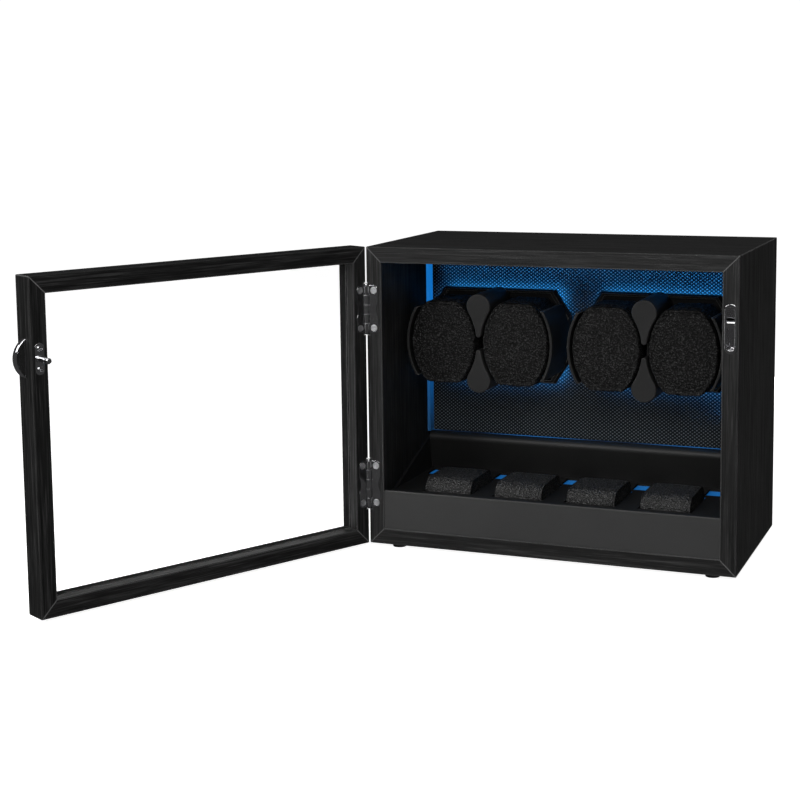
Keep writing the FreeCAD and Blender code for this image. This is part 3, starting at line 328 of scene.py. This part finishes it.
def woodgrain(name, along, yaw=0.0, gloss=0.25):
    """Black foil with brushed grain along one axis, turned by a yaw, and paler edges that are a
    painted highlight.
    """
    paint = Paint(name, FOIL_MIDDLE, 0.5, Specular_IOR_Level=gloss)

    def grain(features):
        length, across = features
        scale = [across] * 3
        scale["XYZ".index(along)] = length
        return paint.noise(scale, detail=2.0, turn=(0, 0, yaw), distortion=0.4)

    broad, fine, hair = grain(BROAD_GRAIN), grain(FINE_GRAIN), grain(HAIR_GRAIN)
    streaks = paint.mix(paint.mix(broad, fine, share=0.6), hair, share=0.4)
    foil = paint.ramp(streaks, [(0.36, FOIL_DARK), (0.5, FOIL_MIDDLE), (0.64, FOIL_PALE)])
    # Paler edges: a painted highlight where rounded edges would catch the light.
    edge_highlight = paint.edges(FOIL_HIGHLIGHT_RADIUS, fall=0.25)
    paint.drive("Base Color", paint.mix(foil, FOIL_EDGE_HIGHLIGHT, share=edge_highlight, kind="RGBA"))
    paint.drive("Roughness", paint.spread(streaks, low=0.66, high=0.40, start=0.35, end=0.65))
    paint.bump(streaks, strength=0.8, distance=0.35 * MM)
    return paint.material


def satin_plastic(name, color, roughness, grain=900, strength=0.12, specular=0.4, rim_highlight=0.0,
                  cloud=0.2):
    """Moulded plastic: fine texture, slow changes of tone and gloss, and paler rims painted as a
    highlight if asked for.

    The grain is in features per metre, and the cloud is the share by which the tone changes."""
    paint = Paint(name, color, roughness, Specular_IOR_Level=specular)
    slow = paint.noise((MOULDING_CLOUDS,) * 3)
    fine = paint.noise((grain,) * 3, detail=2.0)
    tone = paint.ramp(slow, [(0.35, scaled(color, 1 - cloud)), (0.65, scaled(color, 1 + cloud))])
    if rim_highlight:
        # Paler rims: a painted highlight on the moulding's edges.
        edge_highlight = paint.edges(MOULDING_HIGHLIGHT_RADIUS, fall=0.3)
        tone = paint.mix(tone, grey(rim_highlight), share=edge_highlight, kind="RGBA")
    paint.drive("Base Color", tone)
    sheen = cloud * 0.3
    paint.drive("Roughness", paint.spread(slow, low=roughness - sheen, high=roughness + sheen))
    paint.bump(fine, strength, distance=0.1 * MM)
    return paint.material


def leather(name, pebble, tone, strength, roughness, gloss):
    """Pebbled leatherette: rounded cells, painted shade in the creases, a painted sheen on the
    crowns, and glossier crowns.
    """
    paint = Paint(name, grey(tone), roughness, Specular_IOR_Level=gloss)
    warp = paint.noise((pebble * 0.6,) * 3, detail=2.0)
    place = paint.place((pebble,) * 3)
    pushed = paint.add("ShaderNodeVectorMath", {0: place, 1: warp}, operation="ADD").outputs[0]
    cells = paint.cells(paint.mix(place, pushed, kind="VECTOR"), "SMOOTH_F1")
    crown = paint.spread(cells, low=1.0, high=0.0, start=0.15, end=0.62)
    slow = paint.noise((LEATHER_CLOUDS,) * 3)
    # Painted shade darkens the creases and a painted sheen lightens the crowns.
    crease_shade, crown_sheen = grey(tone * 0.25), grey(tone * 5)
    paint.drive("Base Color", paint.ramp(paint.mix(crown, slow, share=0.15), [
        (0.35, crease_shade), (0.62, grey(tone)), (0.86, crown_sheen)]))
    paint.drive("Roughness", paint.spread(crown, low=roughness + 0.2, high=roughness - 0.06,
                                          start=0.0, end=1.0))
    paint.bump(crown, strength, distance=0.7 * MM)
    pores = paint.noise((pebble * 4,) * 3, detail=2.0)
    paint.bump(pores, strength=0.2, distance=0.1 * MM)
    return paint.material


def weave(name):
    """Carbon-look board: staggered rows of small bright dots on a dark ground."""
    paint = Paint(name, grey(0.02), 0.4, Specular_IOR_Level=0.15)
    place = paint.place((1 / DOT_PITCH_X, 1, 1 / DOT_PITCH_Z))
    across, _, up = paint.add("ShaderNodeSeparateXYZ", {"Vector": place}).outputs
    lattice = paint.add("ShaderNodeCombineXYZ", {
        "X": paint.math("ADD", across, up), "Y": paint.math("SUBTRACT", across, up)}).outputs[0]
    cells = paint.cells(lattice, "F1", randomness=0.0, voronoi_dimensions="2D")
    dots = paint.spread(cells, low=1.0, high=0.0, start=0.16, end=0.34)
    paint.drive("Base Color", paint.ramp(dots, [(0.0, BOARD_DARK), (1.0, BOARD_DOT)]))
    paint.drive("Roughness", paint.spread(dots, low=0.55, high=0.3, start=0.0, end=1.0))
    paint.bump(dots, strength=0.4, distance=0.3 * MM)
    return paint.material


def metal(name, color, roughness, specks=0.05):
    """Bare or plated metal with slightly eased edges. Its roughness changes by the specks."""
    paint = Paint(name, color, roughness, Metallic=1.0)
    fine = paint.noise((METAL_SPECKS,) * 3)
    slow = paint.noise((METAL_CLOUDS,) * 3, detail=2.0)
    paint.drive("Base Color", paint.ramp(slow, [(0.35, scaled(color, 0.86)), (0.65, color)]))
    smoothest = max(roughness - specks, 0.02)
    paint.drive("Roughness", paint.spread(fine, low=smoothest, high=roughness + specks))
    paint.normal = paint.rounded(METAL_EDGE)
    paint.bump(fine, strength=0.05, distance=0.05 * MM)
    return paint.material


def clear_glass(name):
    return Paint(name, (1, 1, 1, 1), 0.0, Transmission_Weight=1.0, IOR=1.45).material


def light_guide(name, strength, along, period, peak=0.0, dim=(0.0, 0.06, 0.22, 1)):
    """A lit blue light guide, brightest at a peak along one axis and at every period from it."""
    paint = Paint(name, (0.01, 0.08, 0.2, 1), 0.4)
    swing = paint.math("MULTIPLY", paint.math("SUBTRACT", paint.axis(along), peak),
                       2 * math.pi / period)
    wave = paint.spread(paint.math("COSINE", swing), low=0.0, high=1.0, start=-1.0, end=1.0)
    paint.drive("Emission Color", paint.ramp(wave, [(0.12, dim), (1.0, LAMP_BLUE)]))
    paint.shader.inputs["Emission Strength"].default_value = strength
    return paint.material


def circuit(name):
    paint = Paint(name, (0.02, 0.12, 0.05, 1), 0.35)
    tracks = paint.cells(paint.place((CIRCUIT_TRACKS,) * 3), "DISTANCE_TO_EDGE")
    paint.drive("Base Color", paint.ramp(tracks, [
        (0.04, (0.03, 0.20, 0.08, 1)), (0.08, (0.012, 0.08, 0.03, 1))]))
    paint.bump(tracks, strength=0.1, distance=0.1 * MM)
    return paint.material


def door_yaw():
    """How far the door stands open at rest: its hinge's lower limit is the closed door."""
    hinge = next(joint for joint in frame["joints"] if joint["name"] == "door_hinge")
    return -math.radians(min(hinge["range_deg"]))


# ---------------------------------------------------------------- outlines
SIDE_STEPS, CORNER_STEPS = 40, 12
CORNER_PASSES = 4


def resampled(points, count):
    """The same closed loop as evenly spaced points."""
    total, marks = 0.0, [0.0]
    for first, second in zip(points, points[1:] + points[:1]):
        total += (second - first).length
        marks.append(total)
    closed = points + points[:1]
    spaced, at = [], 0
    for index in range(count):
        target = total * index / count
        while marks[at + 1] < target:
            at += 1
        share = (target - marks[at]) / (marks[at + 1] - marks[at])
        spaced.append(closed[at].lerp(closed[at + 1], share))
    return spaced


def softened(loop, passes):
    """The loop with its corners rounded by averaging neighbours."""
    for _ in range(passes):
        loop = [(loop[i - 1] + loop[i] * 2 + loop[(i + 1) % len(loop)]) / 4
                for i in range(len(loop))]
    return loop


def arc(centre, radius, start, end, steps):
    turns = [start + (end - start) * i / steps for i in range(steps + 1)]
    return [centre + Vector((math.cos(t), math.sin(t))) * radius for t in turns]


def barrel_loop(half_w, half_h, top_half, count):
    """Flat top and bottom joined by one wide arc at each side, anticlockwise."""
    bulge = half_w - top_half
    radius = (bulge ** 2 + half_h ** 2) / (2 * bulge)
    swing = math.asin(half_h / radius)
    right = arc(Vector((half_w - radius, 0)), radius, -swing, swing, SIDE_STEPS)
    left = arc(Vector((radius - half_w, 0)), radius, math.pi - swing, math.pi + swing, SIDE_STEPS)
    return softened(resampled(right + left, count), CORNER_PASSES)


def slab_loop(half_w, half_h, top_r, foot_r, count):
    """A rectangle with large round corners at the top and small ones at the foot, anticlockwise."""
    turn = math.pi / 2
    corners = [(half_w - top_r, half_h - top_r, top_r), (top_r - half_w, half_h - top_r, top_r),
               (foot_r - half_w, foot_r - half_h, foot_r),
               (half_w - foot_r, foot_r - half_h, foot_r)]
    loop = []
    for quarter, (x, y, radius) in enumerate(corners):
        loop += arc(Vector((x, y)), radius, quarter * turn, (quarter + 1) * turn, CORNER_STEPS)
    return resampled(loop, count)


def inset_loop(loop, inset):
    """A loop moved inwards along its own normals."""
    moved = []
    for index, point in enumerate(loop):
        along = loop[(index + 1) % len(loop)] - loop[index - 1]
        moved.append(point - Vector((along.y, -along.x)).normalized() * inset)
    return moved


def shrunk_loop(loop, share):
    middle = sum(loop, Vector((0, 0))) / len(loop)
    return [middle + (point - middle) * share for point in loop]


# ---------------------------------------------------------------- padded pieces
# Each ring is (inset, distance) in millimetres from the piece's outline and from its first end.
# The end fillings are (share of the rim, sink in millimetres).
PILLOW_RINGS = [
    (5.6, 1.4), (4.4, 1.2), (3.4, 0.8), (2.5, 0.4), (1.6, 0.4), (0.8, 1.0), (0.3, 2.0), (0.0, 3.6),
    (-0.1, 6.2), (0.1, 8.6), (0.5, 9.4), (1.3, 9.9), (0.5, 10.4), (0.1, 11.2), (0.0, 13),
    (-0.1, 20), (-0.2, 30), (-0.2, 40), (0.0, 48), (0.3, 54), (1.2, 58.0), (2.6, 59.8),
    (4.6, 60.4), (7.0, 60.5)]
PILLOW_ENDS = [(0.86, 0.0), (0.68, -0.3), (0.48, -0.5), (0.28, -0.6), (0.1, -0.6)]
PILLOW_TOP_HALF = 16.5 * MM
PILLOW_POINTS = 120
PILLOW_SHRINK, PILLOW_SWELL = 0.5 * MM, 1.0 * MM
CUSHION_RINGS = [
    (7.0, 0.7), (4.6, 0.5), (2.8, 0.3), (1.6, 0.2), (0.8, 0.6), (0.2, 1.6), (0.5, 2.3), (0.9, 2.7),
    (0.5, 3.1), (0.1, 3.8), (0.0, 5.5), (-0.1, 10), (-0.2, 17), (-0.2, 24.5), (-0.2, 32),
    (-0.1, 39), (0.0, 43.5), (0.1, 45.2), (0.5, 45.9), (0.9, 46.3), (0.5, 46.7), (0.2, 47.4),
    (0.8, 48.4), (1.6, 48.8), (2.8, 48.7), (4.6, 48.5), (7.0, 48.3)]
CUSHION_ENDS = [(0.8, -0.2), (0.55, -0.4), (0.3, -0.5), (0.1, -0.5)]
CUSHION_TOP_RADIUS, CUSHION_FOOT_RADIUS = 14.5 * MM, 3 * MM
CUSHION_POINTS = 110
CUSHION_SHRINK, CUSHION_SWELL = 1.5 * MM, 1.6 * MM
CUSHION_SEED = 10
CLOTH_VOXEL = 4 * MM
CLOTH_QUALITY = 6
CLOTH_PRESSURE = 4.0
CLOTH_FRAMES = 20
NEAR_POINTS = 6
UNEVEN_DEPTH, UNEVEN_PER_METRE = 0.35 * MM, 60
SEED_SHIFT = 7.3


def skin(name, loop, rings, ends, place):
    """A closed skin through insets of one loop, each end filled by smaller and smaller loops."""
    rims = [(inset_loop(loop, inset * MM), distance * MM) for inset, distance in rings]
    first, last = rims[0], rims[-1]
    front = [(shrunk_loop(first[0], share), first[1] + sink * MM)
             for share, sink in reversed(ends)]
    back = [(shrunk_loop(last[0], share), last[1] - sink * MM) for share, sink in ends]
    rows = front + rims + back
    count = len(loop)
    verts = [place(point.x, distance, point.y) for row, distance in rows for point in row]
    faces = []
    for row in range(len(rows) - 1):
        start, above = row * count, (row + 1) * count
        for index in range(count):
            after = (index + 1) % count
            faces.append((start + index, start + after, above + after, above + index))
    for row in (0, len(rows) - 1):
        points, distance = rows[row]
        middle = sum(points, Vector((0, 0))) / count
        verts.append(place(middle.x, distance, middle.y))
        faces += [(row * count + index, row * count + (index + 1) % count, len(verts) - 1)
                  for index in range(count)]
    mesh = bpy.data.meshes.new(name)
    mesh.from_pydata(verts, [], faces)
    build = bmesh.new()
    build.from_mesh(mesh)
    bmesh.ops.recalc_face_normals(build, faces=build.faces)
    build.to_mesh(mesh)
    build.free()
    mesh.shade_smooth()
    return mesh


def normals(mesh):
    return [normal.vector.copy() for normal in mesh.vertex_normals]


def evaluated(piece):
    return piece.evaluated_get(bpy.context.evaluated_depsgraph_get())


def blown_up(mesh, shrink, cap):
    """The moves of each vertex when a slightly smaller skin is blown up as cloth."""
    proxy = bpy.data.objects.new("proxy", mesh.copy())
    scene.collection.objects.link(proxy)
    for vertex, normal in zip(proxy.data.vertices, normals(mesh)):
        vertex.co -= normal * shrink
    even = proxy.modifiers.new("even", "REMESH")
    even.mode = "VOXEL"
    even.voxel_size = CLOTH_VOXEL
    start = bpy.data.meshes.new_from_object(evaluated(proxy))
    proxy.modifiers.clear()
    proxy.data = start
    cloth = proxy.modifiers.new("cloth", "CLOTH")
    cloth.settings.quality = CLOTH_QUALITY
    cloth.settings.use_pressure = True
    cloth.settings.uniform_pressure_force = CLOTH_PRESSURE
    cloth.settings.effector_weights.gravity = 0.0
    for number in range(1, CLOTH_FRAMES + 1):
        scene.frame_set(number)
    after = evaluated(proxy).data
    moves = [end.co - begin.co for begin, end in zip(start.vertices, after.vertices)]
    drift = sum(moves, Vector()) / len(moves)
    tree = kdtree.KDTree(len(start.vertices))
    for index, vertex in enumerate(start.vertices):
        tree.insert(vertex.co, index)
    tree.balance()
    blended = []
    for vertex, normal in zip(mesh.vertices, normals(mesh)):
        near = tree.find_n(vertex.co, NEAR_POINTS)
        weights = [1 / (distance + MM) for _, _, distance in near]
        move = sum(((moves[index] - drift) * weight
                    for (_, index, _), weight in zip(near, weights)), Vector()) / sum(weights)
        if move.length > cap:
            move *= cap / move.length
        blended.append(move - normal * shrink)
    scene.frame_set(1)
    bpy.data.objects.remove(proxy)
    bpy.data.meshes.remove(start)
    return blended


def swelling(mesh, shrink, cap):
    return blown_up(mesh, shrink, cap)


def soft_piece(node, shape, moves, turn, look, seed):
    """One padded piece: the shared shape with its swelling and a little unevenness of its own."""
    rest_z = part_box(node)[0].z
    mesh = shape.copy()
    for vertex, move in zip(mesh.vertices, moves):
        vertex.co += move
    mesh.transform(turn)
    if turn.determinant() < 0:
        mesh.flip_normals()
    for vertex, normal in zip(mesh.vertices, normals(mesh)):
        uneven = noise.noise(vertex.co * UNEVEN_PER_METRE + Vector((seed * SEED_SHIFT, 0, 0)))
        vertex.co += normal * uneven * UNEVEN_DEPTH
        vertex.co.z = max(vertex.co.z, rest_z)
    piece = bpy.data.objects.new("padded_" + node, mesh)
    scene.collection.objects.link(piece)
    finer = piece.modifiers.new("finer", "SUBSURF")
    finer.levels = finer.render_levels = 1
    mesh.materials.append(look)
    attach(piece, body_of(nodes[node])[0])
    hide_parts(node)


def make_pillows(look):
    low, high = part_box("rotor_pillow_1_left")
    half = (high - low) / 2
    loop = barrel_loop(half.x, half.z, PILLOW_TOP_HALF, PILLOW_POINTS)
    shape = skin("pillow_shape", loop, PILLOW_RINGS, PILLOW_ENDS,
                 lambda across, along, up: Vector((across, along, up)))
    moves = swelling(shape, PILLOW_SHRINK, PILLOW_SWELL)
    sides = [(head, side) for head in (1, 2) for side in ("left", "right")]
    for number, (head, side) in enumerate(sides):
        node = "rotor_pillow_%d_%s" % (head, side)
        low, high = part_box(node)
        mirror = Matrix.Scale(-1 if side == "right" else 1, 4, (1, 0, 0))
        place = Matrix.Translation(((low.x + high.x) / 2, low.y, (low.z + high.z) / 2))
        soft_piece(node, shape, moves, place @ mirror, look, number)


def make_cushions(look):
    low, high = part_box("storage_cushion_1")
    half = (high - low) / 2
    loop = slab_loop(half.y, half.z, CUSHION_TOP_RADIUS, CUSHION_FOOT_RADIUS, CUSHION_POINTS)
    shape = skin("cushion_shape", loop, CUSHION_RINGS, CUSHION_ENDS,
                 lambda inwards, along, up: Vector((along - half.x, inwards, up)))
    moves = swelling(shape, CUSHION_SHRINK, CUSHION_SWELL)
    for number in range(1, 5):
        node = "storage_cushion_%d" % number
        low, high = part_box(node)
        place = Matrix.Translation((low + high) / 2)
        seed = CUSHION_SEED + number
        soft_piece(node, shape, moves, place, look, seed)


# ---------------------------------------------------------------- run
make_camera()
make_floor()
make_world()
make_lights()

yaw = door_yaw()
looks = {
    woodgrain("foil_across", "X"): ["cabinet_top_panel", "cabinet_bottom_panel"],
    woodgrain("foil_upright", "Z"): ["cabinet_left_panel", "cabinet_right_panel"],
    woodgrain("door_foil_across", "X", yaw, gloss=0.12): ["door_top_rail", "door_bottom_rail"],
    woodgrain("door_foil_upright", "Z", yaw, gloss=0.12): [
        "door_hinge_stile", "door_latch_stile"],
    clear_glass("glass"): ["door_glass"],
    metal("chrome_plate", (0.72, 0.72, 0.74, 1), 0.07, specks=0.03): [
        "hinge_cabinet_leaves", "hinge_door_leaves", "hinge_pins", "latch_base", "latch_stud",
        "latch_screws", "door_pull", "strike_plate"],
    metal("bright_screw", (0.9, 0.9, 0.92, 1), 0.32, specks=0.06): [
        "hinge_cabinet_screws", "hinge_door_screws"],
    satin_plastic("pull_enamel", grey(0.01), 0.12, grain=300, strength=0.02, specular=0.6): [
        "door_pull_inlays"],
    satin_plastic("back_paint", grey(0.018), 0.6, grain=1200, strength=0.3, specular=0.3): [
        "back_panel"],
    satin_plastic("coated_metal", grey(0.014), 0.42, grain=1500, strength=0.15, specular=0.3): [
        "rear_control_plate", "motor_brackets"],
    weave("carbon_board"): ["backboard"],
    light_guide("lit_bar_upright", 0.5, "Z", period=0.42, peak=0.26,
                dim=(0.002, 0.006, 0.02, 1)): ["side_light_bars"],
    light_guide("lit_bar_rear", 0.9, "X", period=0.156, peak=-0.046,
                dim=(0.0, 0.008, 0.04, 1)): ["rear_light_bar"],
    light_guide("lit_strip", 0.25, "X", period=0.07): ["tray_light_strip"],
    satin_plastic("tray_board", grey(0.019), 0.45, grain=1500, strength=0.05, specular=0.45,
                  cloud=0.03): ["tray_front_board"],
    satin_plastic("tray_satin", grey(0.006), 0.48, grain=1500, strength=0.05, specular=0.32,
                  cloud=0.08): ["tray_deck", "tray_ribs", "tray_rear_ledge", "tray_end_walls"],
    # The head carriers' and teardrops' paler rims are a painted highlight.
    satin_plastic("head_satin", grey(0.007), 0.4, grain=1500, strength=0.05, specular=0.15,
                  rim_highlight=0.14, cloud=0.08): ["head_carrier_1", "head_carrier_2"],
    satin_plastic("teardrop_satin", grey(0.013), 0.42, grain=1500, strength=0.06, specular=0.15,
                  rim_highlight=0.06, cloud=0.05): ["head_divider_1", "head_divider_2"],
    metal("turned_steel", (0.5, 0.5, 0.52, 1), 0.3): [
        "back_panel_screws", "foot_screws", "head_spindle_1", "head_spindle_2", "gear_motors"],
    metal("bush_brass", (0.75, 0.55, 0.25, 1), 0.28): [
        "spindle_bushes", "motor_pinion_1", "motor_pinion_2"],
    satin_plastic("gear_nylon", (0.7, 0.7, 0.66, 1), 0.5, grain=900, strength=0.1): [
        "drive_gear_1", "drive_gear_2"],
    circuit("circuit_green"): ["control_board"],
    satin_plastic("fine_black", grey(0.008), 0.45, grain=1500, strength=0.3, specular=0.3): [
        "mode_knob_1", "mode_knob_2", "led_rocker", "dc_inlet"],
    satin_plastic("foot_rubber", grey(0.008), 0.7, grain=700, strength=0.4, specular=0.2): [
        "feet"],
}
make_pillows(leather("pillow_leather", pebble=700, tone=0.0048, strength=1.0, roughness=0.42,
                     gloss=0.14))
make_cushions(leather("cushion_leather", pebble=740, tone=0.013, strength=1.3, roughness=0.36,
                      gloss=0.45))
nodes["door_glass"].visible_shadow = False
for name in ("side_light_bars", "rear_light_bar", "tray_light_strip"):
    nodes[name].visible_diffuse = False
    nodes[name].visible_glossy = False
for look, names in looks.items():
    for name in names:
        slots = nodes[name].material_slots
        for slot in slots:
            slot.material = look
        if not slots:
            nodes[name].data.materials.append(look)
